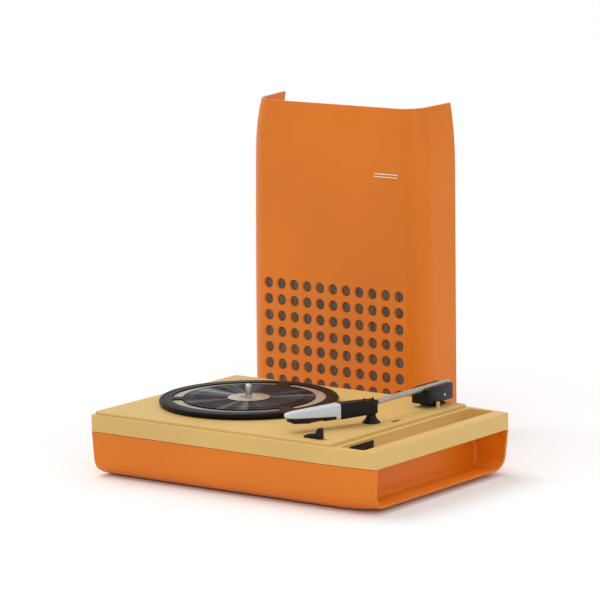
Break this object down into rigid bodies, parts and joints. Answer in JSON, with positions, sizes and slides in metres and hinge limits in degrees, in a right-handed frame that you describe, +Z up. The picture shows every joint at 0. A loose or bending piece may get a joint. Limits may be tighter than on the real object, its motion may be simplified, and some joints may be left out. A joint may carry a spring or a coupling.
{
  "type": "portable record player",
  "caption": "Flat portable record player with a carrying bar and finger trough, stylus arm and rubber-matted platter, with its lift-off loudspeaker lid standing on end behind it.",
  "frame": {"origin": "on the surface it stands on, under the middle of the box around player and lid together", "axes": "+Z up; +X towards the player's handle end; +Y from the player towards the lid that stands behind it"},
  "size_m": [0.4376, 0.4396, 0.3552],
  "materials": {
    "case_orange": "smooth moulded orange plastic, satin gloss",
    "deck_cream": "moulded cream plastic, satin",
    "black_plastic": "black moulded plastic, satin",
    "mat_rubber": "black rubber with fine concentric grooves",
    "foot_rubber": "black rubber, matt",
    "tube_silver": "silver-grey lacquered tube",
    "head_silver": "bright silver-white plastic",
    "stylus_red": "translucent-looking red plastic",
    "chrome": "polished",
    "steel": "zinc-plated sheet and turned steel",
    "platter_metal": "spun aluminium under clear lacquer",
    "brass": "turned brass",
    "grille_cloth": "brown-grey woven loudspeaker cloth",
    "hardboard": "brown hardboard",
    "circuit_board": "brown laminate board",
    "speaker_paper": "dark pressed paper cone",
    "badge_white": "plain off-white bar"
  },
  "bodies": {
    "base": {"case_shell": "case_orange", "deck_moulding": "deck_cream", "bearing_sleeve": "brass", "amplifier_board": "circuit_board", "motor_plate": "steel", "motor_body": "steel", "idler_carrier": "steel", "idler_spring": "steel", "mains_transformer": "steel", "volume_control": "steel", "case_screw_front_left": "steel", "case_screw_front_right": "steel", "case_screw_back_left": "steel", "case_screw_back_right": "steel", "foot_front_left": "foot_rubber", "foot_front_right": "foot_rubber", "foot_back_left": "foot_rubber", "foot_back_right": "foot_rubber", "arm_pedestal": "black_plastic", "arm_rest": "black_plastic", "control_housing": "black_plastic", "socket_panel": "black_plastic"},
    "lid": {"lid_shell": "case_orange", "lid_badge": "badge_white", "grille_cloth": "grille_cloth", "speaker_baffle": "hardboard", "speaker_basket": "steel", "speaker_cone": "speaker_paper", "speaker_magnet": "steel", "lid_foot_left": "foot_rubber", "lid_foot_right": "foot_rubber", "lid_socket": "black_plastic", "speaker_screw_1": "steel", "speaker_screw_2": "steel", "speaker_screw_3": "steel", "speaker_screw_4": "steel"},
    "platter": {"platter": "platter_metal", "platter_mat": "mat_rubber", "spindle": "chrome"},
    "idler": {"idler_wheel": "steel", "idler_tyre": "foot_rubber"},
    "motor_rotor": {"motor_pulley": "brass"},
    "arm_turret": {"arm_turret": "black_plastic"},
    "tone_arm": {"arm_housing": "black_plastic", "arm_pin": "chrome", "arm_tube": "tube_silver", "arm_sleeve": "black_plastic", "headshell": "head_silver", "cartridge": "black_plastic", "stylus_holder": "stylus_red"},
    "speed_lever": {"speed_lever": "black_plastic"},
    "volume_wheel": {"volume_wheel": "black_plastic"},
    "tone_wheel": {"tone_wheel": "black_plastic"},
    "lid_catch": {"lid_catch": "black_plastic"}
  },
  "joints": [
    {"name": "platter_spin", "type": "hinge", "parent": "base", "child": "platter", "pos_m": [-0.0279, -0.094, 0.06], "axis": [0, 0, -1], "continuous": true},
    {"name": "idler_spin", "type": "hinge", "parent": "base", "child": "idler", "pos_m": [-0.0009, -0.14077, 0.064], "axis": [0, 0, -1], "continuous": true},
    {"name": "motor_spin", "type": "hinge", "parent": "base", "child": "motor_rotor", "pos_m": [-0.01744, -0.13475, 0.06], "axis": [0, 0, -1], "continuous": true},
    {"name": "arm_swing", "type": "hinge", "parent": "base", "child": "arm_turret", "pos_m": [0.1388, 0.0012, 0.07], "axis": [0, 0, -1], "range_deg": [0, 32]},
    {"name": "arm_lift", "type": "hinge", "parent": "arm_turret", "child": "tone_arm", "pos_m": [0.1388, 0.0072, 0.078], "axis": [-1, 0, 0], "range_deg": [0, 12]},
    {"name": "speed_select", "type": "slide", "parent": "base", "child": "speed_lever", "axis": [1, 0, 0], "range_m": [0, 0.009]},
    {"name": "volume_turn", "type": "hinge", "parent": "base", "child": "volume_wheel", "pos_m": [0.1676, -0.1843, 0.0546], "axis": [0, 0, 1], "range_deg": [0, 270]},
    {"name": "tone_turn", "type": "hinge", "parent": "base", "child": "tone_wheel", "pos_m": [0.1676, -0.1663, 0.0546], "axis": [0, 0, 1], "range_deg": [0, 270]},
    {"name": "catch_slide", "type": "slide", "parent": "base", "child": "lid_catch", "axis": [0, 1, 0], "range_m": [0, 0.003], "stiffness_N_per_m": 400},
    {"name": "lid_lift", "type": "slide", "parent": "base", "child": "lid", "axis": [0, 0, 1], "range_m": [0, 0.25]}
  ],
  "couplings": [
    {"joint": "idler_spin", "follows": "platter_spin", "ratio": 4.4069},
    {"joint": "motor_spin", "follows": "platter_spin", "ratio": -39.914}
  ]
}
